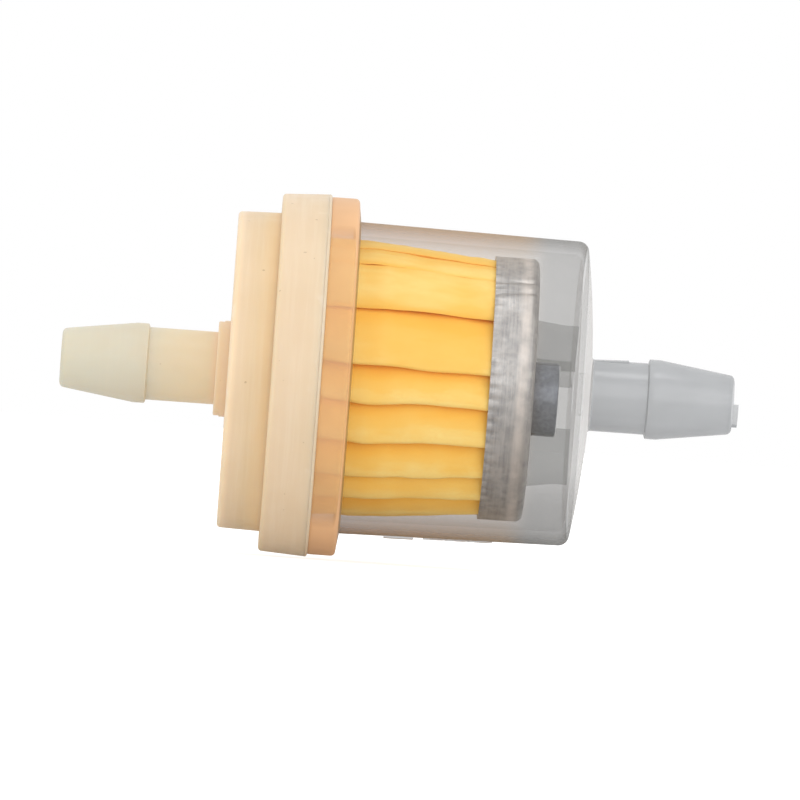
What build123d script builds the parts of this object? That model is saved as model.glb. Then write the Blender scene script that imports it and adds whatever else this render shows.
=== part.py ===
from build123d import *
from math import cos, hypot, radians, sin, tan
import os

# Inline fuel filter for 6 to 7 mm hose, all sizes in mm.
# The axis of the filter runs along X, with the cap at -X and the clear bowl at +X.
# The origin is on the axis, halfway between the two hose tips. +Z is up.

# hose barbs, the same on both ends
tip_x = 30.0
tip_r = 2.6
tip_round = 0.4
ridge_r = 3.55
ridge_x = 22.35
ridge_land = 1.0
ridge_back = 0.12
bore_r = 1.9

# cap
cap_neck_r = 3.235
cap_boss_r = 4.19
cap_boss_x = -16.18
cap_face_x = -15.13
cap_cup_r = 14.11
cap_wall = 1.5
cap_inner_r = 12.75
cap_flange_x = -11.3
cap_flange_r = 15.93
cap_draft = 0.1
joint_x = -7.04
joint_r = 16.16
seat_depth = 2.0

# clear bowl
bowl_flange_r = 15.95
bowl_flange_x = -4.46
bowl_root_x = -4.2
bowl_r = 13.91
bowl_draft_angle = 0.95
bowl_wall = 1.2
bowl_rim_x = 16.15
bowl_crown_x = 17.2
bowl_floor_x = 15.7
bowl_neck_r = 3.19
tongue_wall = 0.85
joint_gap = 0.05
ledge_height = 0.12
ledge_end_x = 20.5

# ribs that hold the magnet inside the bowl
rib_count = 3
rib_first_angle = 257.0
rib_thickness = 1.0
rib_top_x = 12.0
rib_outer_r = 8.65
rib_outer_base_r = 8.25
rib_seat_r = 4.0
rib_lip_r = 3.4

# weld bead between the two flanges
bead_inner_r = 14.1
bead_outer_r = 16.24
bead_thickness = 0.3

# pleated paper
pleat_count = 19
pleat_lean = 18.0
paper_thickness = 0.4
paper_start_x = -12.6
paper_shoulder_x = -2.3
paper_end_x = 10.9
paper_start_r = 12.45
paper_shoulder_r = 12.33
paper_end_r = 11.2
paper_core_start_r = 7.0
paper_core_end_r = 6.2
fold_width = 0.9
root_width = 0.5
seam_pleat = 2
seam_r = 10.0
seam_margin = 1.9

# tin end cup and the adhesive in it
cup_rim_x = 8.0
cup_face_x = 11.94
cup_r = 11.75
cup_wall = 0.25
cup_round = 0.7
crimp_count = 72
crimp_depth = 0.12
crimp_length = 0.8
cup_glue_depth = 1.4

# adhesive seat in the cap
seat_glue_inner_r = 5.6
seat_glue_x = -11.9

# magnet
magnet_r = 3.28
magnet_thickness = 2.4
magnet_drop = 0.7
magnet_chamfer = 0.25


def turned(points):
    """Turn a closed profile, given as (x, radius) points, about the filter's axis."""
    return revolve(make_face(Polyline(*points, close=True)), Axis.X)


def ring_edges(body, x, radius):
    """The round edges of a body that lie at x and at a radius from the axis."""
    found = ShapeList()
    for edge in body.edges().filter_by(GeomType.CIRCLE):
        middle = edge.position_at(0.5)
        if abs(middle.X - x) < 0.02 and abs(hypot(middle.Y, middle.Z) - radius) < 0.02:
            found.append(edge)
    return found


def disc(x_start, x_end, radius):
    """A solid cylinder on the filter's axis between two stations."""
    return turned([(x_start, 0), (x_start, radius), (x_end, radius), (x_end, 0)])


def tube(x_start, x_end, inner, outer):
    """A plain ring on the filter's axis between two stations."""
    return turned([(x_start, inner), (x_start, outer), (x_end, outer), (x_end, inner)])


def barb_points(side, neck_r, root_x):
    """Half profile of a hose barb from its tip to its root, for side -1 or +1."""
    return [
        (side * tip_x, bore_r),
        (side * tip_x, tip_r),
        (side * (ridge_x + ridge_land), ridge_r),
        (side * ridge_x, ridge_r),
        (side * (ridge_x - ridge_back), neck_r),
        (root_x, neck_r),
    ]


def make_cap():
    """Nylon cap: hose barb, boss, cup, and the flange that is welded to the bowl."""
    joint_face = joint_x - bead_thickness / 2
    tongue_seat_r = cap_inner_r + tongue_wall + joint_gap
    profile = barb_points(-1, cap_neck_r, cap_boss_x) + [
        (cap_boss_x, cap_boss_r),
        (cap_face_x, cap_boss_r),
        (cap_face_x, cap_cup_r),
        (cap_flange_x, cap_cup_r + cap_draft),
        (cap_flange_x, cap_flange_r),
        (joint_face, joint_r),
        (joint_face, tongue_seat_r),
        (joint_face - seat_depth, tongue_seat_r),
        (joint_face - seat_depth, cap_inner_r),
        (cap_face_x + cap_wall, cap_inner_r),
        (cap_face_x + cap_wall, bore_r),
    ]
    cap = turned(profile)
    cap = fillet(ring_edges(cap, -tip_x, tip_r), tip_round)
    cap = fillet(ring_edges(cap, cap_boss_x, cap_boss_r), 0.2)
    cap = fillet(ring_edges(cap, cap_face_x, cap_cup_r), 0.35)
    cap = fillet(ring_edges(cap, cap_flange_x, cap_flange_r), 0.3)
    cap = fillet(ring_edges(cap, cap_face_x + cap_wall, bore_r), 0.5)
    return cap


def bowl_outer_r(x):
    """Outside radius of the bowl's tapered wall at a station."""
    return bowl_r - (x - bowl_root_x) * tan(radians(bowl_draft_angle))


def make_bowl_body():
    """Turned part of the bowl: tongue, flange, tapered wall, domed end and hose barb."""
    joint_face = joint_x + bead_thickness / 2
    tongue_x = joint_face - bead_thickness - seat_depth + joint_gap
    dome_r = 0.5 * (bowl_neck_r + bowl_outer_r(bowl_rim_x))
    dome_x = bowl_crown_x - 0.3 * (bowl_crown_x - bowl_rim_x)
    neck = Polyline(*barb_points(1, bowl_neck_r, bowl_crown_x))
    dome = ThreePointArc(
        (bowl_crown_x, bowl_neck_r),
        (dome_x, dome_r),
        (bowl_rim_x, bowl_outer_r(bowl_rim_x)),
    )
    wall = Polyline(
        (bowl_rim_x, bowl_outer_r(bowl_rim_x)),
        (bowl_root_x, bowl_r),
        (bowl_flange_x, bowl_flange_r),
        (joint_face, bowl_flange_r),
        (joint_face, cap_inner_r + tongue_wall),
        (tongue_x, cap_inner_r + tongue_wall),
        (tongue_x, cap_inner_r),
        (joint_face, cap_inner_r),
        (bowl_floor_x, bowl_outer_r(bowl_floor_x) - bowl_wall),
        (bowl_floor_x, bore_r),
        (tip_x, bore_r),
    )
    bowl = revolve(make_face(neck + dome + wall), Axis.X)
    bowl = fillet(ring_edges(bowl, tip_x, tip_r), tip_round)
    bowl = fillet(ring_edges(bowl, bowl_rim_x, bowl_outer_r(bowl_rim_x)), 0.8)
    bowl = fillet(ring_edges(bowl, bowl_flange_x, bowl_flange_r), 0.35)
    bowl = fillet(ring_edges(bowl, bowl_crown_x, bowl_neck_r), 0.25)
    bowl = fillet(ring_edges(bowl, bowl_floor_x, bowl_outer_r(bowl_floor_x) - bowl_wall), 0.6)
    return bowl


def make_rib():
    """One stepped rib on the bowl's floor, standing on the +Y side of the axis."""
    outline = Polyline(
        (rib_top_x, rib_seat_r),
        (rib_top_x, rib_outer_r),
        (bowl_floor_x + 0.3, rib_outer_base_r),
        (bowl_floor_x + 0.3, rib_lip_r),
        (cup_face_x + magnet_thickness + 0.06, rib_lip_r),
        (cup_face_x + magnet_thickness + 0.06, rib_seat_r),
        close=True,
    )
    return extrude(make_face(outline), rib_thickness / 2, both=True)


def make_flow_marks():
    """Raised pad and three plain chevrons on the underside that point towards the outlet."""
    pad = Pos(1.1, 0, 0) * Box(2.6, 2.2, 30)
    marks = pad
    for x in (3.6, 5.6, 7.6):
        for side in (-1, 1):
            arm = Pos(x + 0.6, side * 0.75, 0) * Rot(0, 0, side * 40) * Box(2.0, 0.45, 30)
            marks += arm
    marks &= Pos(4, 0, -13) * Box(14, 6, 3)
    skin = turned(
        [
            (-1, bowl_outer_r(-1) - 0.3),
            (-1, bowl_outer_r(-1) + 0.13),
            (10, bowl_outer_r(10) + 0.1),
            (10, bowl_outer_r(10) - 0.3),
        ]
    )
    return marks & skin


def make_gate_mark():
    """Thin broken-off remnant of the moulding gate on the end of the bowl's hose tip."""
    outline = Polyline(
        (tip_x - 0.5, bore_r),
        (tip_x + 0.46, bore_r + 0.03),
        (tip_x + 0.42, tip_r - 0.42),
        (tip_x - 0.5, tip_r - 0.38),
        close=True,
    )
    wedge = revolve(make_face(outline), Axis.X, revolution_arc=66)
    return Rot(178, 0, 0) * wedge


def make_bowl():
    """Clear bowl with its magnet ribs, parting ledge, flow marks and gate remnant."""
    bowl = make_bowl_body()
    rib = make_rib()
    for number in range(rib_count):
        bowl += Rot(rib_first_angle + number * 360 / rib_count, 0, 0) * rib
    ledge = tube(bowl_crown_x - 0.2, ledge_end_x, bowl_neck_r - 0.5, bowl_neck_r + ledge_height)
    bowl += ledge & Pos(bowl_crown_x, 0, 5) * Box(20, 12, 10)
    bowl += make_flow_marks()
    bowl += make_gate_mark()
    return bowl


def make_weld_bead():
    """Melted bead between the flanges, with a little flash squeezed out at its edge."""
    half = bead_thickness / 2
    return turned(
        [
            (joint_x - half, bead_inner_r),
            (joint_x - half, joint_r - 0.05),
            (joint_x, bead_outer_r),
            (joint_x + half, bowl_flange_r - 0.05),
            (joint_x + half, bead_inner_r),
        ]
    )


def polar(radius, angle):
    """A point in the plane of a pleat section."""
    return (radius * cos(radians(angle)), radius * sin(radians(angle)))


def inward(before, point, after, distance):
    """Move a corner of a counterclockwise outline inward so both its sides move by a distance."""
    first = Vector(point[0] - before[0], point[1] - before[1]).normalized()
    second = Vector(after[0] - point[0], after[1] - point[1]).normalized()
    left = Vector(-first.Y, first.X) + Vector(-second.Y, second.X)
    scale = 2 * distance / left.length**2
    return (point[0] + left.X * scale, point[1] + left.Y * scale)


def pleat_outline(outer, inner):
    """Corners of the outside of the folded paper, each fold leaning over the next."""
    corners = []
    step = 360 / pleat_count
    outer_half = 90 * fold_width / outer / 3.14159
    inner_half = 90 * root_width / inner / 3.14159
    for number in range(pleat_count):
        root = number * step
        crest = root + step / 2 + pleat_lean
        corners.append(polar(inner, root - inner_half))
        corners.append(polar(inner, root + inner_half))
        corners.append(polar(outer, crest - outer_half))
        corners.append(polar(outer, crest + outer_half))
    return corners


def pleat_section(x, outer, inner, shrink):
    """Flat face across the axis at a station, bounded by one side of the folded paper."""
    corners = pleat_outline(outer, inner)
    if shrink:
        count = len(corners)
        moved = []
        for index in range(count):
            before = corners[index - 1]
            after = corners[(index + 1) % count]
            moved.append(inward(before, corners[index], after, shrink))
        corners = moved
    plane = Plane(origin=(x, 0, 0), x_dir=(0, 1, 0), z_dir=(1, 0, 0))
    return plane * make_face(Polyline(*corners, close=True))


def pleat_body(shrink):
    """Solid bounded by one side of the folded paper, over the paper's whole length."""
    start = pleat_section(paper_start_x, paper_start_r, paper_core_start_r, shrink)
    shoulder_core = paper_core_start_r - 0.3
    shoulder = pleat_section(paper_shoulder_x, paper_shoulder_r, shoulder_core, shrink)
    end = pleat_section(paper_end_x, paper_end_r, paper_core_end_r, shrink)
    return loft([start, shoulder], ruled=True) + loft([shoulder, end], ruled=True)


def make_paper():
    """Pleated paper cone, folded from one sheet."""
    return pleat_body(0) - pleat_body(paper_thickness)


def make_cup():
    """Pressed tin cup that closes the small end of the paper, crimped round its rim."""
    shell = turned(
        [
            (cup_rim_x, cup_r - cup_wall),
            (cup_rim_x, cup_r),
            (cup_face_x, cup_r),
            (cup_face_x, 0),
            (cup_face_x - cup_wall, 0),
            (cup_face_x - cup_wall, cup_r - cup_wall),
        ]
    )
    shell = fillet(ring_edges(shell, cup_face_x, cup_r), cup_round)
    inner_edge = ring_edges(shell, cup_face_x - cup_wall, cup_r - cup_wall)
    shell = fillet(inner_edge, cup_round - cup_wall)
    notch = Pos(cup_rim_x, 0, cup_r) * Rot(0, 0, 45) * Box(crimp_length, crimp_length, 2 * crimp_depth)
    notches = [Rot(index * 360 / crimp_count, 0, 0) * notch for index in range(crimp_count)]
    return shell - notches


def make_cup_adhesive(paper):
    """Adhesive poured into the tin cup, with the ends of the pleats sunk into it."""
    back = cup_face_x - cup_wall
    front = back - cup_glue_depth
    body = disc(front, back, cup_r - cup_wall - 0.02)
    body = fillet(ring_edges(body, back, cup_r - cup_wall - 0.02), cup_round - cup_wall + 0.02)
    return body - paper


def make_seat_adhesive(paper):
    """Adhesive ring that seals the open end of the paper to the cap's floor."""
    floor = cap_face_x + cap_wall
    body = tube(floor, seat_glue_x, seat_glue_inner_r, cap_inner_r - 0.01)
    return body - paper


def make_paper_seam():
    """Glue inside one outer fold, where the two ends of the paper sheet are joined."""
    step = 360 / pleat_count
    crest = seam_pleat * step + step / 2 + pleat_lean
    length = paper_end_x - paper_start_x - 2 * seam_margin
    middle = (paper_end_x + paper_start_x) / 2
    reach = Pos(middle, seam_r + 2, 0) * Box(length, 4, 2.4)
    return pleat_body(paper_thickness) & Rot(crest, 0, 0) * reach


def make_magnet():
    """Ceramic disc magnet that stands on the lower rib against the tin cup's face."""
    magnet = disc(cup_face_x, cup_face_x + magnet_thickness, magnet_r)
    magnet = chamfer(ring_edges(magnet, cup_face_x + magnet_thickness, magnet_r), magnet_chamfer)
    return Pos(0, 0, -magnet_drop) * magnet


def save(name, shape):
    """Write one piece as a STEP file named after its node."""
    shape.label = name
    export_step(shape, f"parts/{name}.step")


os.makedirs("parts", exist_ok=True)
paper = make_paper()
save("cap_shell", make_cap())
save("bowl_shell", make_bowl())
save("weld_bead", make_weld_bead())
save("pleated_paper", paper)
save("paper_seam_glue", make_paper_seam())
save("end_cup", make_cup())
save("end_cup_adhesive", make_cup_adhesive(paper))
save("cap_seat_adhesive", make_seat_adhesive(paper))
save("magnet", make_magnet())
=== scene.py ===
import math
import bmesh
import bpy
from mathutils import Matrix, Vector, noise


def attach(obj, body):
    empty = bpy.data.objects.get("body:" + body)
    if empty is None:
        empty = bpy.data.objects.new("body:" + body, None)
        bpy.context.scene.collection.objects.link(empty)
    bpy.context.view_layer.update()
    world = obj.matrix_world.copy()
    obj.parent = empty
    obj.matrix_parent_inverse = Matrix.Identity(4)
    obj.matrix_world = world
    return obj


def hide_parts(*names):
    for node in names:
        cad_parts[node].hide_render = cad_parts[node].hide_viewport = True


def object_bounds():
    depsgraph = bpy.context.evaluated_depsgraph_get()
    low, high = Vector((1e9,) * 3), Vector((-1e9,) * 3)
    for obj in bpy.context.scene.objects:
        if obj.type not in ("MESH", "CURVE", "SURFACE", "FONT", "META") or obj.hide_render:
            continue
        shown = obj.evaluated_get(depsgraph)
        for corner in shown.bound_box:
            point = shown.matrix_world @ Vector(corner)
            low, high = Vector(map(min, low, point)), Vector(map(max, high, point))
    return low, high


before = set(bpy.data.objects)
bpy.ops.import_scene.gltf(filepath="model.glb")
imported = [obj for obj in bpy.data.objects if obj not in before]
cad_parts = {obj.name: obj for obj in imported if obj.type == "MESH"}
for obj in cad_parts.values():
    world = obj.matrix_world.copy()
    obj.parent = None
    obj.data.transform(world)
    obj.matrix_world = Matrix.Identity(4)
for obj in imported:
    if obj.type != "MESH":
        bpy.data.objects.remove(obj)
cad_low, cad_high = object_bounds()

# Inline fuel filter. Lengths in the tables and calls below are in mm; the scene is in metres.
MM = 0.001
TURN = 2 * math.pi

# Hose barbs: the same tip, ridge and bore on both ends.
TIP_X, TIP_R, BORE_R = 30.0, 2.6, 1.9
RIDGE_X, RIDGE_LAND, RIDGE_R = 22.35, 1.0, 3.55

# Cap, from its boss to the weld.
CAP_NECK_R, BOSS_X, BOSS_R = 3.235, -16.18, 4.19
CAP_FACE_X, CAP_FLOOR_X, CAP_CUP_R = -15.13, -13.63, 14.11
CAP_FLANGE_X, CAP_FLANGE_R = -11.30, 15.93
CAP_JOINT_X, CAP_JOINT_R = -7.19, 16.16
INNER_R = 12.75

# Bowl, from the weld to its barb.
BOWL_JOINT_X, BOWL_FLANGE_X, BOWL_FLANGE_R = -6.89, -4.46, 15.95
BOWL_ROOT_X, BOWL_R, BOWL_DRAFT, BOWL_WALL = -4.2, 13.91, 0.95, 1.2
BOWL_FLOOR_X, BOWL_RIM_X, BOWL_CROWN_X = 15.7, 16.12, 17.2
BOWL_NECK_R, BOWL_NECK_X, LEDGE_START_X = 3.19, 20.5, 17.45
RIB_FIRST_ANGLE, RIB_COUNT, RIB_THICKNESS = 257, 3, 1.0
RIB_LIP_R, RIB_SEAT_R, RIB_OUTER_R = 3.4, 4.0, 8.25

# Tin cup and magnet.
TIN_RIM_X, TIN_BACK_X, TIN_FACE_X = 8.0, 11.69, 11.94
TIN_INNER_R, TIN_R, CRIMPS = 11.5, 11.75, 72
MAGNET_R, MAGNET_START_X, MAGNET_END_X, MAGNET_DROP = 3.28, 11.95, 14.34, 0.7

# Folded paper: the cone starts in the cap, bends at its shoulder and ends in the tin cup.
PAPER_START, PAPER_SHOULDER, PAPER_END = -12.6, -2.3, 10.9
SHOULDER_R, PAPER_END_R = 12.3, 11.17
# Where the outer folds lie, in degrees from +Y towards +Z: bunched unevenly on the near side,
# as the folds of a hand-set element are, and even on the far side.
CRESTS = [84, 102, 120, 131, 173, 188, 206, 224, 239, 259] + [259 + 19 * n for n in range(1, 10)]
PLEATS = len(CRESTS)
BROAD_PLEATS = 4
LEAN = 21.0
PAPER_THICKNESS = 0.16

# Regions of the bowl, as the order of its materials.
WALL, FLANGE, BARB, RIB, END, INNER = range(6)


# ---------------------------------------------------------------- mesh helpers

def turned(points, steps, closed=True):
    """Spin a half profile of (x, radius) points round the filter's axis."""
    bm = bmesh.new()
    verts = [bm.verts.new((x * MM, 0, r * MM)) for x, r in points]
    pairs = list(zip(verts, verts[1:]))
    if closed:
        pairs.append((verts[-1], verts[0]))
    edges = [bm.edges.new(pair) for pair in pairs]
    bmesh.ops.spin(bm, geom=verts + edges, cent=(0, 0, 0), axis=(1, 0, 0),
                   dvec=(0, 0, 0), angle=TURN, steps=steps, use_merge=True)
    bmesh.ops.remove_doubles(bm, verts=bm.verts, dist=1e-6)
    bmesh.ops.recalc_face_normals(bm, faces=bm.faces)
    return bm


def radius(point):
    return math.hypot(point.y, point.z)


def ring_edges(bm, x, r):
    """Edges of the ring at a station and a radius."""
    def at(vert):
        return abs(vert.co.x - x * MM) < 4e-6 and abs(radius(vert.co) - r * MM) < 4e-6
    return [e for e in bm.edges if at(e.verts[0]) and at(e.verts[1])]


def round_ring(bm, x, r, size, segments=4):
    """Round the ring edge at a station and a radius."""
    edges = ring_edges(bm, x, r)
    bmesh.ops.bevel(bm, geom=edges, offset=size * MM, offset_type="OFFSET", segments=segments,
                    profile=0.5, affect="EDGES", clamp_overlap=True, material=-1)


def cut_out(bm, near, shapes):
    """Cut the faces that near accepts round convex shapes, and give those inside any of them.

    A shape is a list of planes, each a point and a normal that points out of the shape.
    """
    for planes in shapes:
        for point, normal in planes:
            faces = [f for f in bm.faces if near(f)]
            parts = dict.fromkeys(faces)
            for face in faces:
                parts.update(dict.fromkeys([*face.edges, *face.verts]))
            bmesh.ops.bisect_plane(bm, geom=list(parts), plane_co=point, plane_no=normal, dist=1e-8)

    def inside(face):
        middle = face.calc_center_median()
        return any(all((middle - point).dot(normal) < 0 for point, normal in planes)
                   for planes in shapes)
    return [f for f in bm.faces if near(f) and inside(f)]


def lift(bm, faces, move):
    """Extrude a patch of faces and move its top. Gives the top's faces."""
    made = bmesh.ops.extrude_face_region(bm, geom=faces)["geom"]
    bmesh.ops.delete(bm, geom=[f for f in faces if f.is_valid], context="FACES")
    for vert in made:
        if isinstance(vert, bmesh.types.BMVert):
            vert.co = move(vert.co)
    return [f for f in made if isinstance(f, bmesh.types.BMFace)]


def outward(amount):
    """A move away from the filter's axis by an amount in mm."""
    def move(co):
        grow = 1 + amount * MM / radius(co)
        return Vector((co.x, co.y * grow, co.z * grow))
    return move


def along(amount):
    """A move along the filter's axis by an amount in mm."""
    def move(co):
        return Vector((co.x + amount * MM, co.y, co.z))
    return move


def piece(name, bm, materials, node, sharp=32):
    """Make the object, let it ride on the filter, and stand for its CAD node."""
    bmesh.ops.remove_doubles(bm, verts=bm.verts, dist=5e-7)
    bmesh.ops.recalc_face_normals(bm, faces=bm.faces)
    if all(e.is_manifold for e in bm.edges) and bm.calc_volume(signed=True) < 0:
        bmesh.ops.reverse_faces(bm, faces=bm.faces)
    mesh = bpy.data.meshes.new(name)
    bm.to_mesh(mesh)
    bm.free()
    for material in materials:
        mesh.materials.append(material)
    for polygon in mesh.polygons:
        polygon.use_smooth = True
    mesh.set_sharp_from_angle(angle=math.radians(sharp))
    obj = bpy.data.objects.new(name, mesh)
    bpy.context.scene.collection.objects.link(obj)
    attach(obj, "root")
    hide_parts(node)
    return obj


# ---------------------------------------------------------------- material helpers

class Finish:
    """A material with one Principled shader and short calls for its nodes."""

    def __init__(self, name, **sockets):
        self.material = bpy.data.materials.new(name)
        self.material.use_nodes = True
        self.tree = self.material.node_tree
        self.shader = self.tree.nodes["Principled BSDF"]
        for socket, value in sockets.items():
            self.shader.inputs[socket.replace("_", " ")].default_value = value
        self.place = self.tree.nodes.new("ShaderNodeTexCoord").outputs["Object"]

    def link(self, source, target):
        self.tree.links.new(source, target)

    def noise(self, scale, detail=3.0, rough=0.55, stretch=(1, 1, 1)):
        """Noise whose grain is scale lines per metre, stretched per axis."""
        mapping = self.tree.nodes.new("ShaderNodeMapping")
        mapping.inputs["Scale"].default_value = stretch
        self.link(self.place, mapping.inputs["Vector"])
        texture = self.tree.nodes.new("ShaderNodeTexNoise")
        texture.inputs["Scale"].default_value = scale
        texture.inputs["Detail"].default_value = detail
        texture.inputs["Roughness"].default_value = rough
        self.link(mapping.outputs["Vector"], texture.inputs["Vector"])
        return texture.outputs["Fac"]

    def axis(self, name):
        """One object coordinate, in metres."""
        split = self.tree.nodes.new("ShaderNodeSeparateXYZ")
        self.link(self.place, split.inputs["Vector"])
        return split.outputs[name]

    def span(self, source, low, high, to_low=0.0, to_high=1.0, steps="SMOOTHSTEP"):
        """Map a value's range to another, held at both ends."""
        node = self.tree.nodes.new("ShaderNodeMapRange")
        node.interpolation_type = steps
        node.inputs["From Min"].default_value = low
        node.inputs["From Max"].default_value = high
        node.inputs["To Min"].default_value = to_low
        node.inputs["To Max"].default_value = to_high
        self.link(source, node.inputs["Value"])
        return node.outputs["Result"]

    def facing(self):
        """0 where the surface looks straight back, 1 where it is seen edge on."""
        node = self.tree.nodes.new("ShaderNodeLayerWeight")
        node.inputs["Blend"].default_value = 0.5
        return node.outputs["Facing"]

    def maths(self, operation, a, b):
        node = self.tree.nodes.new("ShaderNodeMath")
        node.operation = operation
        for socket, value in zip(node.inputs, (a, b)):
            if isinstance(value, (int, float)):
                socket.default_value = value
            else:
                self.link(value, socket)
        return node.outputs["Value"]

    def mix(self, share, a, b):
        """Mix two colours by a share. Each is a colour or a socket."""
        node = self.tree.nodes.new("ShaderNodeMix")
        node.data_type = "RGBA"
        for socket, value in ((node.inputs[0], share), (node.inputs[6], a), (node.inputs[7], b)):
            if isinstance(value, bpy.types.NodeSocket):
                self.link(value, socket)
            elif isinstance(value, (int, float)):
                socket.default_value = value
            else:
                socket.default_value = (*value, 1.0)
        return node.outputs[2]

    def ramp(self, source, stops):
        """Colour by position, from (place 0 to 1, colour) stops."""
        node = self.tree.nodes.new("ShaderNodeValToRGB")
        elements = node.color_ramp.elements
        while len(elements) < len(stops):
            elements.new(0.5)
        for element, (place, colour) in zip(elements, stops):
            element.position = place
            element.color = (*colour, 1.0)
        self.link(source, node.inputs["Fac"])
        return node.outputs["Color"]

    def colour(self, source):
        self.link(source, self.shader.inputs["Base Color"])

    def roughness(self, source):
        self.link(source, self.shader.inputs["Roughness"])

    def bump(self, source, height, strength=1.0):
        """Bump of a height in mm."""
        node = self.tree.nodes.new("ShaderNodeBump")
        node.inputs["Strength"].default_value = strength
        node.inputs["Distance"].default_value = height * MM
        self.link(source, node.inputs["Height"])
        last = self.shader.inputs["Normal"]
        if last.is_linked:
            self.link(last.links[0].from_socket, node.inputs["Normal"])
        self.link(node.outputs["Normal"], last)


def tone(red, green, blue):
    """A display colour, 0 to 255, as scene light."""
    def channel(value):
        value /= 255
        return value / 12.92 if value <= 0.04045 else ((value + 0.055) / 1.055) ** 2.4
    return (channel(red), channel(green), channel(blue))


# ---------------------------------------------------------------- finishes

def cream_nylon():
    """Natural nylon of the cap: greenish on the barb, peachy on the cup, with small pits; also painted
    light: a painted glow at the neck's root, the boss and next to the flange, and painted highlights on
    scuffs along the rims.
    """
    f = Finish("natural_cream_nylon", Roughness=0.4, IOR=1.5, Subsurface_Weight=0.35,
               Subsurface_Scale=0.002)
    f.shader.inputs["Subsurface Radius"].default_value = (1.0, 0.75, 0.5)
    place = f.span(f.axis("X"), -0.030, -0.007, steps="LINEAR")
    # Painted light: the stops from 0.40 to 0.65 lighten the neck towards its root and the boss, and the
    # stop at 0.80 is a brighter orange next to the flange; both are a painted glow standing for light
    # scattered through the nylon where shade falls.
    base = f.ramp(place, [
        (0.00, tone(207, 203, 184)),
        (0.33, tone(208, 202, 182)),
        (0.40, tone(220, 208, 180)),
        (0.57, tone(234, 216, 182)),
        (0.60, tone(243, 215, 180)),
        (0.65, tone(243, 215, 180)),
        (0.68, tone(221, 197, 164)),
        (0.74, tone(221, 195, 156)),
        (0.80, tone(236, 205, 158)),
        (0.83, tone(221, 198, 167)),
        (1.00, tone(221, 197, 165)),
    ])
    cloud = f.span(f.noise(220, 2.0), 0.3, 0.7)
    base = f.mix(f.maths("MULTIPLY", cloud, 0.15), base, tone(206, 178, 140))
    rub = f.span(f.noise(260, 4.0, 0.7, stretch=(7, 0.3, 0.3)), 0.4, 0.75)
    on_cup = f.span(f.axis("X"), -0.0165, -0.015, 0.05, 0.2)
    base = f.mix(f.maths("MULTIPLY", rub, on_cup), base, tone(236, 222, 200))
    # Lighter flecks along the flange's edge and the cap's face edge: scuff wear, with painted highlights
    # where these edges catch the light.
    scuff_glint_noise = f.span(f.noise(330, 3.0), 0.56, 0.76)
    flange_rim = f.span(f.axis("X"), -0.0084, -0.0073, 0.0, 0.6)
    face_rim = f.span(f.axis("X"), -0.0151, -0.0147, 0.6, 0.0)
    rim_scuffs_and_highlights = f.maths("MULTIPLY", scuff_glint_noise, f.maths("ADD", flange_rim, face_rim))
    on_cap = f.span(f.axis("X"), -0.01514, -0.01512)
    base = f.mix(f.maths("MULTIPLY", rim_scuffs_and_highlights, on_cap), base, tone(243, 229, 210))
    pits = f.span(f.noise(2300, 0.0), 0.87, 0.89)
    base = f.mix(f.maths("MULTIPLY", pits, 0.4), base, tone(160, 128, 94))
    f.colour(base)
    f.roughness(f.span(f.noise(600, 3.0), 0.3, 0.7, 0.34, 0.5))
    f.bump(f.noise(420, 3.0), 0.05, 0.5)
    f.bump(f.maths("MULTIPLY", pits, -1.0), 0.05, 0.6)
    return f.material


def frosted(name, colour, alpha, rim, rough=0.42, shine=0.2):
    """Frosted clear nylon: thin where it is seen straight on, milkier along its edges."""
    f = Finish(name, Roughness=rough, IOR=1.5)
    f.shader.inputs["Specular IOR Level"].default_value = shine
    cloud = f.span(f.noise(150, 2.0), 0.3, 0.7)
    f.colour(f.mix(cloud, colour, tuple(c * 1.12 for c in colour)))
    edge = f.maths("MULTIPLY", f.maths("POWER", f.facing(), 2.0), rim)
    f.link(f.maths("MAXIMUM", edge, alpha), f.shader.inputs["Alpha"])
    f.bump(f.noise(260, 2.0), 0.03, 0.4)
    f.bump(f.noise(1800, 2.0), 0.006, 0.4)
    return f


def frosted_wall():
    """The bowl's wall: clear over the paper, with a painted warm glow there for the paper's light in the
    haze; greyer and milkier past it.
    """
    f = frosted("frosted_wall_nylon", tone(122, 120, 116), 0.2, 1.0, shine=0.3)
    paper_ends, cup_ends = 0.0098, 0.0128
    past = f.span(f.axis("X"), paper_ends, cup_ends)
    base = f.shader.inputs["Base Color"].links[0].from_socket
    # Painted glow: over the paper the nylon gets a warm brown that stands for the paper's orange light
    # scattered in the wall.
    f.colour(f.mix(past, tone(158, 126, 84), base))
    haze = f.span(f.axis("X"), paper_ends, cup_ends, 0.08, 0.34)
    f.link(haze, f.shader.inputs["Alpha"].links[0].from_node.inputs[1])
    return f.material


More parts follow.
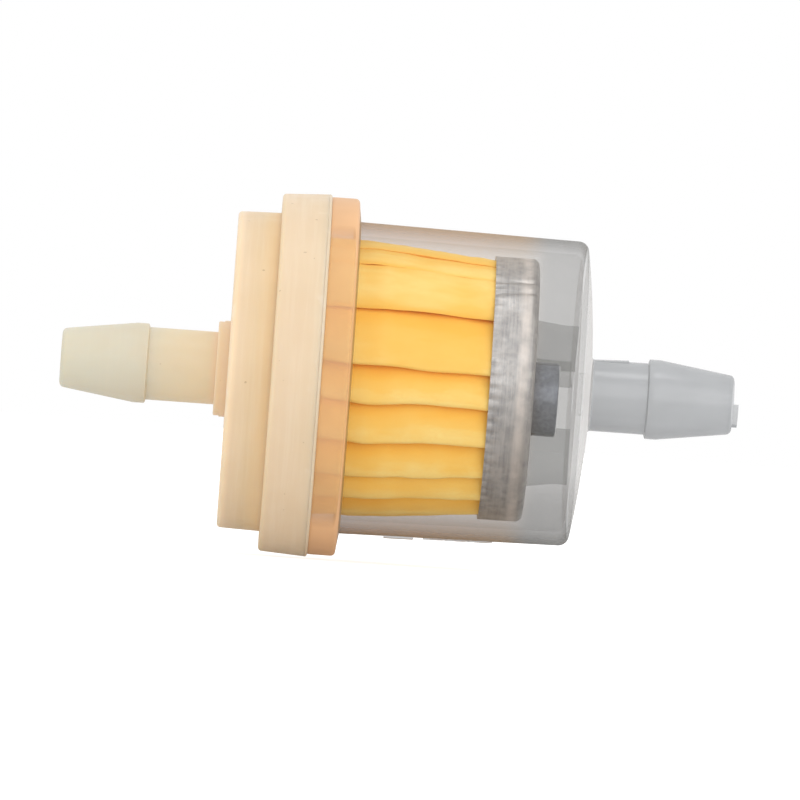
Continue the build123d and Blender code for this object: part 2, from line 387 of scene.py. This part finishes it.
def filter_paper():
    """Resin treated paper: fibres and a soft mottle, with painted light in the folds: pale crests as a
    painted highlight and a deeper orange between them as painted shade.
    """
    f = Finish("yellow_filter_paper", Roughness=0.85)
    f.shader.inputs["Specular IOR Level"].default_value = 0.2
    y, z = f.axis("Y"), f.axis("Z")
    out = f.maths("SQRT", f.maths("ADD", f.maths("MULTIPLY", y, y), f.maths("MULTIPLY", z, z)), 0)
    crest = f.span(f.axis("X"), PAPER_SHOULDER * MM, PAPER_END * MM,
                   SHOULDER_R * MM, PAPER_END_R * MM, steps="LINEAR")
    deep = f.maths("MULTIPLY", f.maths("SUBTRACT", crest, out), 1 / MM)
    cloud = f.maths("MULTIPLY", f.span(f.noise(300, 3.0, stretch=(0.3, 1, 1)), 0.3, 0.7), 0.3)
    # Painted light: colour by depth below the crests, pale on the crests and a deeper, darker orange
    # down between the folds where shade falls.
    base = f.ramp(f.maths("ADD", deep, cloud), [
        (0.08, tone(255, 222, 134)),
        (0.28, tone(255, 208, 106)),
        (0.65, tone(255, 196, 84)),
        (1.00, tone(254, 184, 70)),
    ])
    fibre = f.span(f.noise(5200, 2.0), 0.35, 0.65)
    base = f.mix(f.maths("MULTIPLY", fibre, 0.18), base, tone(250, 184, 80))
    f.colour(base)
    f.bump(f.noise(5200, 2.0), 0.02, 0.5)
    f.bump(f.noise(900, 2.0, stretch=(0.3, 1, 1)), 0.05, 0.4)
    return f.material


def tinned_steel():
    """Drawn tin: streaks round the cup, a dull mottle and a painted highlight: a bright band near the
    shoulder, broken up by noise.
    """
    f = Finish("tinned_steel", Metallic=1.0)
    mottle = f.span(f.noise(1100, 4.0, 0.6), 0.35, 0.65)
    streak = f.span(f.noise(900, 4.0, 0.7, stretch=(6, 0.2, 0.2)), 0.3, 0.7)
    base = f.mix(mottle, tone(156, 157, 159), tone(186, 185, 184))
    base = f.mix(f.maths("MULTIPLY", streak, 0.5), base, tone(216, 213, 210))
    # Painted highlight: a bright band just before the cup's rounded shoulder, broken up by noise.
    shoulder_highlight = f.maths("MULTIPLY", f.span(f.axis("X"), 0.0101, 0.0108),
                     f.span(f.axis("X"), 0.011, 0.0116, 1.0, 0.0))
    shoulder_highlight = f.maths("MULTIPLY", shoulder_highlight, f.span(f.noise(500, 3.0), 0.3, 0.7, 0.3, 0.9))
    base = f.mix(shoulder_highlight, base, tone(238, 231, 225))
    f.colour(base)
    f.roughness(f.span(f.noise(700, 3.0), 0.3, 0.7, 0.4, 0.58))
    f.bump(f.noise(900, 4.0, 0.6), 0.02, 0.5)
    f.bump(f.noise(900, 4.0, 0.7, stretch=(6, 0.2, 0.2)), 0.015, 0.6)
    return f.material


def potting():
    """Cured adhesive with a wavy, slightly glossy skin."""
    f = Finish("cured_potting_adhesive", Roughness=0.35)
    cloud = f.span(f.noise(400, 3.0), 0.3, 0.7)
    f.colour(f.mix(cloud, tone(176, 142, 92), tone(206, 176, 122)))
    f.bump(f.noise(500, 2.0), 0.15, 0.6)
    return f.material


def ferrite():
    """Dark blue-grey sintered magnet."""
    f = Finish("dark_ferrite", Roughness=0.36, Metallic=0.8)
    grain = f.span(f.noise(2500, 3.0), 0.3, 0.7)
    f.colour(f.mix(grain, tone(122, 127, 137), tone(146, 150, 158)))
    f.bump(f.noise(2500, 3.0), 0.02, 0.5)
    return f.material


# ---------------------------------------------------------------- cap

def barb_profile(side, neck_r, root_x):
    """Half profile of a hose barb from its tip to its root, for side -1 or +1."""
    return [
        (side * TIP_X, BORE_R), (side * TIP_X, TIP_R), (side * (RIDGE_X + RIDGE_LAND), RIDGE_R),
        (side * RIDGE_X, RIDGE_R), (side * (RIDGE_X - 0.12), neck_r), (root_x, neck_r),
    ]


def make_cap(nylon):
    """Barb, stepped boss, shallow cup and thick flange in one moulding."""
    profile = barb_profile(-1, CAP_NECK_R, BOSS_X) + [
        (BOSS_X, BOSS_R), (-15.65, BOSS_R), (-15.65, 4.28), (CAP_FACE_X, 4.28),
        (CAP_FACE_X, 5.0), (CAP_FACE_X, 13.5), (CAP_FACE_X, CAP_CUP_R), (-14.5, 14.13), (-11.5, 14.21),
        (CAP_FLANGE_X, 14.21), (CAP_FLANGE_X, 15.4), (CAP_FLANGE_X, CAP_FLANGE_R),
        (-10.7, 15.97), (-7.6, 16.14), (CAP_JOINT_X, CAP_JOINT_R), (CAP_JOINT_X, 13.65),
        (-9.19, 13.65), (-9.19, INNER_R), (-13.2, INNER_R), (CAP_FLOOR_X, INNER_R),
        (CAP_FLOOR_X, 12.3), (CAP_FLOOR_X, 2.6), (CAP_FLOOR_X, BORE_R),
    ]
    bm = turned(profile, 192)
    round_ring(bm, -TIP_X, TIP_R, 0.4)
    round_ring(bm, -TIP_X, BORE_R, 0.12, 2)
    round_ring(bm, -RIDGE_X, RIDGE_R, 0.04, 2)
    round_ring(bm, BOSS_X, BOSS_R, 0.12, 3)
    round_ring(bm, CAP_FACE_X, CAP_CUP_R, 0.33)
    round_ring(bm, CAP_FLANGE_X, CAP_FLANGE_R, 0.28)
    round_ring(bm, CAP_JOINT_X, CAP_JOINT_R, 0.04, 2)
    round_ring(bm, CAP_FLOOR_X, BORE_R, 0.5)
    return piece("cap_moulding", bm, [nylon], "cap_shell")


def make_weld_flash(nylon):
    """Melted bead between the flanges, pushed out unevenly round its edge."""
    inner_r, edge_r = 14.1, 15.8
    bm = turned([(CAP_JOINT_X, inner_r), (CAP_JOINT_X, 16.15), (-7.14, 16.18), (-7.04, 16.17),
                 (-6.95, 16.1), (-6.9, 15.97), (-6.9, inner_r)], 360)
    for vert in bm.verts:
        if radius(vert.co) > edge_r * MM:
            wave = noise.noise(vert.co * 700) * 0.04 + noise.noise(vert.co * 2600) * 0.02
            vert.co = outward(min(wave, 0.05))(vert.co)
    return piece("weld_flash", bm, [nylon], "weld_bead")


# ---------------------------------------------------------------- bowl

def wall_r(x):
    """Outside radius of the bowl's wall at a station in mm."""
    return BOWL_R - (x - BOWL_ROOT_X) * math.tan(math.radians(BOWL_DRAFT))


def raise_rib(bm, angle):
    """One stepped rib on the bowl's floor, at an angle from +Y towards +Z."""
    out = Vector((0, math.cos(angle), math.sin(angle)))
    side = Vector((0, -math.sin(angle), math.cos(angle)))
    half = RIB_THICKNESS / 2 * MM

    def floor(face):
        middle = face.calc_center_median()
        flat = all(abs(v.co.x - BOWL_FLOOR_X * MM) < 2e-6 for v in face.verts)
        return flat and middle.dot(out) > 0 and RIB_LIP_R * MM < radius(middle) < RIB_OUTER_R * MM
    strip = cut_out(bm, floor, [[(side * half, side), (side * -half, -side)]])
    top = lift(bm, strip, along(-1.3))
    high = [f for f in top if f.calc_center_median().dot(out) > RIB_SEAT_R * MM]

    def raise_and_lean(co):
        grow = 0.4 * MM if co.dot(out) > 8.0 * MM else 0.0
        return co + Vector((-2.4 * MM, 0, 0)) + out * grow
    lift(bm, high, raise_and_lean)


def underside(face):
    """True for the faces of the outer wall near its lowest line."""
    middle = face.calc_center_median()
    tall = radius(middle) > wall_r(middle.x / MM) * MM - 0.05 * MM
    return tall and abs(middle.y) < 3 * MM and middle.z < 0 and -4 * MM < middle.x < 15 * MM


def slab(point, normal, half):
    """Two planes that bound a slab round a point, in mm."""
    return [(point + normal * half * MM, normal), (point - normal * half * MM, -normal)]


def stamp_marks(bm):
    """Raised pad and three plain chevrons under the bowl."""
    pad = slab(Vector((1.1 * MM, 0, 0)), Vector((1, 0, 0)), 1.3) + slab(Vector(), Vector((0, 1, 0)), 1.1)
    lift(bm, cut_out(bm, underside, [pad]), outward(0.2))
    arms = []
    for x in (3.6, 5.6, 7.6):
        for side in (-1, 1):
            turn = math.radians(40 * side)
            across = Vector((-math.sin(turn), math.cos(turn), 0))
            away = Vector((0, side, 0))
            arms.append(slab(Vector((x * MM, 0, 0)), across, 0.2)
                        + [(Vector(), -away), (away * 1.3 * MM, away)])
    lift(bm, cut_out(bm, underside, arms), outward(0.14))


def region(face):
    """Which of the bowl's materials a face has."""
    middle = face.calc_center_median()
    x, r = middle.x / MM, radius(middle) / MM
    if r < BORE_R + 0.05:
        return INNER
    if x > BOWL_CROWN_X + 0.1:
        return BARB
    if x < BOWL_ROOT_X - 0.1:
        return FLANGE
    if x < BOWL_FLOOR_X - 0.01 and 3.3 < r < 8.8:
        return RIB
    if x > BOWL_FLOOR_X - 0.05 and r < 12.5:
        return END
    if r < wall_r(x) - BOWL_WALL / 2:
        return INNER
    return WALL


def make_bowl(finishes):
    """Flange, tapered wall, domed end and barb in one moulding, with ribs inside its end."""
    dome = [(BOWL_CROWN_X - 1.05 * (r * r - 10) / 165, r) for r in (4.0, 6.5, 9.0, 11.0, 12.4)]
    floor_r = wall_r(BOWL_FLOOR_X) - BOWL_WALL
    profile = [(17.5, BOWL_NECK_R), (BOWL_CROWN_X, BOWL_NECK_R)] + dome + [
        (BOWL_RIM_X, wall_r(BOWL_RIM_X)), (14.6, wall_r(14.6)), (-3.6, wall_r(-3.6)),
        (BOWL_ROOT_X, BOWL_R), (-4.38, 15.2), (BOWL_FLANGE_X, BOWL_FLANGE_R), (-5.0, BOWL_FLANGE_R),
        (-6.6, BOWL_FLANGE_R), (BOWL_JOINT_X, 15.93), (BOWL_JOINT_X, 13.6), (-9.14, 13.6),
        (-9.14, INNER_R), (BOWL_JOINT_X, INNER_R), (15.0, wall_r(15.0) - BOWL_WALL),
        (BOWL_FLOOR_X, floor_r), (BOWL_FLOOR_X, 11.6), (BOWL_FLOOR_X, RIB_OUTER_R),
        (BOWL_FLOOR_X, RIB_SEAT_R), (BOWL_FLOOR_X, RIB_LIP_R), (BOWL_FLOOR_X, BORE_R),
    ] + barb_profile(1, BOWL_NECK_R, BOWL_NECK_X)
    bm = turned(profile, 192)
    round_ring(bm, TIP_X, TIP_R, 0.4)
    round_ring(bm, RIDGE_X, RIDGE_R, 0.04, 2)
    round_ring(bm, BOWL_CROWN_X, BOWL_NECK_R, 0.25, 3)
    round_ring(bm, BOWL_RIM_X, wall_r(BOWL_RIM_X), 0.75, 5)
    round_ring(bm, BOWL_FLANGE_X, BOWL_FLANGE_R, 0.35)
    round_ring(bm, BOWL_JOINT_X, 15.93, 0.03, 2)
    round_ring(bm, BOWL_FLOOR_X, floor_r, 0.6)
    for number in range(RIB_COUNT):
        raise_rib(bm, math.radians(RIB_FIRST_ANGLE + 360 / RIB_COUNT * number))
    stamp_marks(bm)

    def ledge(face):
        middle = face.calc_center_median()
        on_neck = abs(radius(middle) - BOWL_NECK_R * MM) < 0.02 * MM
        return on_neck and LEDGE_START_X * MM < middle.x < BOWL_NECK_X * MM and middle.z > 3.04 * MM

    def slope_up(co):
        return outward(0.12 * (co.x / MM - 17.4) / 3.1)(co)
    lift(bm, [f for f in bm.faces if ledge(f)], slope_up)

    def gate(face):
        middle = face.calc_center_median()
        turn = math.degrees(math.atan2(middle.z, middle.y)) % 360
        return middle.x > (TIP_X - 0.001) * MM and radius(middle) < 2.25 * MM and 178 < turn < 244
    lift(bm, [f for f in bm.faces if gate(f)], along(0.44))

    for face in bm.faces:
        face.material_index = region(face)
    bowl = piece("bowl_moulding", bm, finishes, "bowl_shell")
    bowl.visible_shadow = False
    return bowl


# ---------------------------------------------------------------- paper and its glue

def paper_radii(x):
    """Outer and inner fold radius of the paper at a station in mm."""
    if x < PAPER_SHOULDER:
        share = (x - PAPER_START) / (PAPER_SHOULDER - PAPER_START)
        return 12.42 - (12.42 - SHOULDER_R) * share, 7.0 - 0.3 * share
    share = (x - PAPER_SHOULDER) / (PAPER_END - PAPER_SHOULDER)
    return SHOULDER_R - (SHOULDER_R - PAPER_END_R) * share, 6.7 - 0.5 * share


def fold(x, turn):
    """Place on the folded sheet for a station and a share of the way round.

    A pleat runs from one root (side -1) over its crest (side 0) to the next root (side 1).
    """
    outer, inner = paper_radii(x)
    pleat = min(int(turn * PLEATS), PLEATS - 1)
    side = 2 * (turn * PLEATS - pleat) - 1
    depth = 1 - side ** 2
    broad = pleat < BROAD_PLEATS
    crest = CRESTS[pleat]
    before = CRESTS[pleat - 1] - (360 if pleat == 0 else 0)
    after = CRESTS[(pleat + 1) % PLEATS] + (360 if pleat == PLEATS - 1 else 0)
    reach = (0.57 if broad else 0.52) * (crest - before) if side < 0 else 0.475 * (crest - after)
    full = 0.2 if broad else 0.45
    drift = -0.06 if pleat == 3 else 0.1 if pleat < 3 else 0.13
    loose = 0.7 if broad else 1.5
    wobble = loose * noise.noise(Vector((x * 0.2, pleat * 7.3, 1.0))) + drift * (x - 2)
    wobble += 1.5 * noise.noise(Vector((x * 0.11, 4.0, 6.0)))
    angle = crest + wobble * depth - LEAN * (1 - depth ** 3) - reach * min(1.0, abs(side) / full)
    dip = 0.25 * depth * abs(noise.noise(Vector((x * 0.3, pleat * 2.1, 9.0))))
    r = inner + (outer - inner) * depth - dip
    angle = math.radians(angle)
    return Vector((x * MM, r * MM * math.cos(angle), r * MM * math.sin(angle)))


def make_paper(paper):
    """Fold a tube of paper into leaning pleats; a solidify modifier gives its thickness."""
    around = PLEATS * 24
    bm = bmesh.new()
    ring = bmesh.ops.create_circle(bm, segments=around, radius=1.0)["verts"]
    order = {vert: number for number, vert in enumerate(ring)}
    stations = 36
    level = {vert: 0 for vert in ring}
    edges = list(bm.edges)
    for station in range(1, stations + 1):
        made = bmesh.ops.extrude_edge_only(bm, edges=edges)["geom"]
        verts = [g for g in made if isinstance(g, bmesh.types.BMVert)]
        for vert in verts:
            level[vert] = station
            for edge in vert.link_edges:
                other = edge.other_vert(vert)
                if level.get(other) == station - 1:
                    order[vert] = order[other]
        top = set(verts)
        edges = [e for e in made if isinstance(e, bmesh.types.BMEdge) and set(e.verts) <= top]
    for vert in bm.verts:
        x = PAPER_START + (PAPER_END - PAPER_START) * level[vert] / stations
        vert.co = fold(x, order[vert] / around)
    obj = piece("folded_paper", bm, [paper], "pleated_paper", sharp=80)
    thick = obj.modifiers.new("paper_thickness", "SOLIDIFY")
    thick.thickness = PAPER_THICKNESS * MM
    thick.offset = 0
    return obj


def make_seam(glue):
    """Strip of dried glue inside the last outer fold."""
    length, thickness, height = 19.4, 0.3, 1.2
    bm = bmesh.new()
    bmesh.ops.create_cube(bm, size=1.0)
    bmesh.ops.scale(bm, verts=bm.verts, vec=(length * MM, thickness * MM, height * MM))
    lengthwise = [e for e in bm.edges if abs(e.verts[0].co.x - e.verts[1].co.x) > MM]
    bmesh.ops.subdivide_edges(bm, edges=lengthwise, cuts=24)
    for vert in bm.verts:
        x = vert.co.x / MM + (PAPER_START + PAPER_END) / 2
        tip = fold(x, (PLEATS - 0.5) / PLEATS)
        root = fold(x, (PLEATS - 0.8) / PLEATS)
        inwards = (root - tip).normalized()
        across = Vector((0, -inwards.z, inwards.y))
        lump = 1 + 0.3 * noise.noise(Vector((x, 3.0, 1.0)))
        vert.co = tip + inwards * (1.0 * MM + vert.co.z) + across * vert.co.y * lump
    bmesh.ops.bevel(bm, geom=list(bm.edges), offset=0.04 * MM, segments=1, profile=0.5, affect="EDGES",
                    material=-1)
    return piece("seam_glue_strip", bm, [glue], "paper_seam_glue")


def make_seat_potting(glue):
    """Adhesive ring on the cap's floor, with the open ends of the pleats sunk into it."""
    bm = turned([(CAP_FLOOR_X, 5.6), (-12.2, 5.65), (-11.95, 6.2), (-12.05, 9.0), (-11.95, 12.2),
                 (-11.75, INNER_R - 0.01), (CAP_FLOOR_X, INNER_R - 0.01)], 144)
    return piece("seat_potting", bm, [glue], "cap_seat_adhesive")


def make_cup_potting(glue):
    """Adhesive in the tin cup, with the small ends of the pleats sunk into it."""
    edge_r = TIN_INNER_R - 0.03
    bm = turned([(10.3, 0), (10.32, 4.0), (10.25, 8.0), (10.2, 11.2), (10.15, edge_r), (11.2, edge_r),
                 (TIN_BACK_X, 11.0), (TIN_BACK_X, 0)], 144, closed=False)
    return piece("cup_potting", bm, [glue], "end_cup_adhesive")


# ---------------------------------------------------------------- tin cup and magnet

def make_tin_cup(tin):
    """Pressed cup with a crimped rim, a slightly dented wall and two creases."""
    bm = turned([(TIN_RIM_X, TIN_INNER_R), (TIN_RIM_X, TIN_R), (8.35, TIN_R), (8.8, TIN_R), (9.2, TIN_R),
                 (11.0, 11.74), (TIN_FACE_X, 11.74), (TIN_FACE_X, 10.8), (TIN_FACE_X, 0),
                 (TIN_BACK_X, 0), (TIN_BACK_X, 10.8), (TIN_BACK_X, TIN_INNER_R),
                 (8.8, TIN_INNER_R)], 360)
    round_ring(bm, TIN_FACE_X, 11.74, 0.65, 5)
    round_ring(bm, TIN_BACK_X, TIN_INNER_R, 0.4, 3)
    crimp_length, crimp_depth, crease_depth, wall_from_r = 1.1, 0.16, 0.2, 11.2
    for vert in bm.verts:
        if radius(vert.co) < wall_from_r * MM:
            continue
        x = vert.co.x / MM
        angle = math.atan2(vert.co.z, vert.co.y)
        rim = max(0.0, 1 - (x - TIN_RIM_X) / crimp_length)
        dent = -crimp_depth * rim * (0.5 + 0.5 * math.cos(angle * CRIMPS)) ** 3
        ripple = 0.05 * noise.noise(Vector((vert.co.x * 250, vert.co.y * 420, vert.co.z * 420)))
        crease = 0.0
        for middle in (126.0, 133.0):
            off = abs(math.degrees(angle) - middle + (x - 10) * 0.35)
            crease -= crease_depth * max(0.0, 1 - off / 1.3)
        vert.co = outward(min(dent + ripple + crease, 0.05))(vert.co)
    return piece("tin_cup", bm, [tin], "end_cup", sharp=50)


def make_magnet(dark):
    """Disc magnet on the tin cup, resting on the bowl's lowest rib."""
    bm = turned([(MAGNET_START_X, 0), (MAGNET_START_X, MAGNET_R), (MAGNET_END_X, MAGNET_R),
                 (MAGNET_END_X, 0)], 96, closed=False)
    round_ring(bm, MAGNET_END_X, MAGNET_R, 0.2, 2)
    round_ring(bm, MAGNET_START_X, MAGNET_R, 0.1, 2)
    bmesh.ops.translate(bm, verts=bm.verts, vec=(0, 0, -MAGNET_DROP * MM))
    return piece("disc_magnet", bm, [dark], "magnet")


# ---------------------------------------------------------------- stage, light and camera

def make_stage():
    """Plain pale floor that the flange stands on, under an even pale sky.

    The floor glows, by ray type: plain white where it is looked at directly; through the bowl a soft
    grey that is darker near the filter, a painted shade; and a dim glow that lights the filter from
    below and shows in its reflections.
    """
    bm = bmesh.new()
    bmesh.ops.create_grid(bm, x_segments=8, y_segments=8, size=3.0)
    bmesh.ops.translate(bm, verts=bm.verts, vec=(0, 0, cad_low.z - 0.0001))
    mesh = bpy.data.meshes.new("floor")
    bm.to_mesh(mesh)
    bm.free()
    f = Finish("pale_floor", Roughness=0.9)
    cloud = f.span(f.noise(3, 2.0), 0.3, 0.7)
    f.colour(f.mix(cloud, (0.54, 0.54, 0.54), (0.56, 0.56, 0.56)))
    f.shader.inputs["Specular IOR Level"].default_value = 0.0
    f.shader.inputs["Emission Color"].default_value = (1.0, 1.0, 1.0, 1.0)
    rays = f.tree.nodes.new("ShaderNodeLightPath")
    # Painted shade: seen through the bowl, the floor's glow is weaker near the filter and grows away
    # from it.
    away = f.span(f.maths("ABSOLUTE", f.axis("Y"), 0), 0.1, 2.0, 0.0, 0.45)
    direct = f.maths("LESS_THAN", rays.outputs["Transparent Depth"], 0.5)
    glow = f.maths("ADD", f.maths("MULTIPLY", direct, 0.75), away)
    seen = f.maths("MULTIPLY", rays.outputs["Is Camera Ray"], glow)
    bounced = f.maths("ADD", f.maths("MULTIPLY", rays.outputs["Is Diffuse Ray"], 0.34),
                      f.maths("MULTIPLY", rays.outputs["Is Glossy Ray"], 0.12))
    f.link(f.maths("ADD", seen, bounced), f.shader.inputs["Emission Strength"])
    mesh.materials.append(f.material)
    floor = bpy.data.objects.new("floor", mesh)
    bpy.context.scene.collection.objects.link(floor)

    world = bpy.data.worlds.new("studio")
    bpy.context.scene.world = world
    world.use_nodes = True
    sky = world.node_tree.nodes["Background"]
    sky.inputs["Color"].default_value = (1.0, 1.0, 1.0, 1.0)
    sky.inputs["Strength"].default_value = 1.0


def area_light(name, place, target, size, power):
    """Round softbox that points at a target."""
    data = bpy.data.lights.new(name, "AREA")
    data.shape = "DISK"
    data.size = size
    data.energy = power
    light = bpy.data.objects.new(name, data)
    light.location = place
    light.rotation_euler = (Vector(target) - Vector(place)).to_track_quat("-Z", "Y").to_euler()
    bpy.context.scene.collection.objects.link(light)


def make_camera():
    """Long lens, nearly side on, rolled so that the filter's clear end dips a little."""
    data = bpy.data.cameras.new("camera")
    data.lens = 505
    data.sensor_width = 36
    data.clip_start = 0.01
    data.clip_end = 50
    camera = bpy.data.objects.new("camera", data)
    swing, roll, distance = math.radians(-0.95), math.radians(4.11), 1.0
    back = Vector((math.sin(swing), -math.cos(swing), 0))
    level = Vector((math.cos(swing), math.sin(swing), 0))
    up = Vector((0, 0, 1)) * math.cos(roll) - level * math.sin(roll)
    right = level * math.cos(roll) + Vector((0, 0, 1)) * math.sin(roll)
    aim = Vector((0.27 * MM, 0, 0)) - up * 1.66 * MM
    turn = Matrix((right, up, back)).transposed().to_4x4()
    camera.matrix_world = Matrix.Translation(aim + back * distance) @ turn
    bpy.context.scene.collection.objects.link(camera)
    bpy.context.scene.camera = camera


nylon = cream_nylon()
glue = potting()
make_cap(nylon)
make_weld_flash(nylon)
make_bowl([
    frosted_wall(),
    # Painted glow: this orange stands for the paper's light showing through the flange, not a tint of
    # the nylon.
    frosted("frosted_flange_nylon", tone(216, 171, 127), 0.62, 4.5).material,
    frosted("frosted_barb_nylon", tone(166, 168, 170), 0.72, 1.0, 0.2, 0.6).material,
    frosted("frosted_rib_nylon", tone(106, 108, 105), 0.24, 0.3).material,
    # Painted light: the bowl's end gets a much lighter grey than its wall, standing for light coming
    # through the end and offsetting the shade it gets facing the tin cup.
    frosted("frosted_end_nylon", tone(206, 201, 196), 0.25, 0.42).material,
    frosted("frosted_inner_nylon", tone(130, 124, 114), 0.03, 0.1).material,
])
make_paper(filter_paper())
make_seam(glue)
make_seat_potting(glue)
make_cup_potting(glue)
make_tin_cup(tinned_steel())
make_magnet(ferrite())
make_stage()
area_light("front_softbox", (0.32, -0.62, 0.2), (0, 0, 0), 0.9, 2.3)
area_light("top_softbox", (0.05, -0.16, 0.6), (0, 0, 0), 0.2, 0.3)
make_camera()
bpy.context.scene.view_settings.view_transform = "Standard"
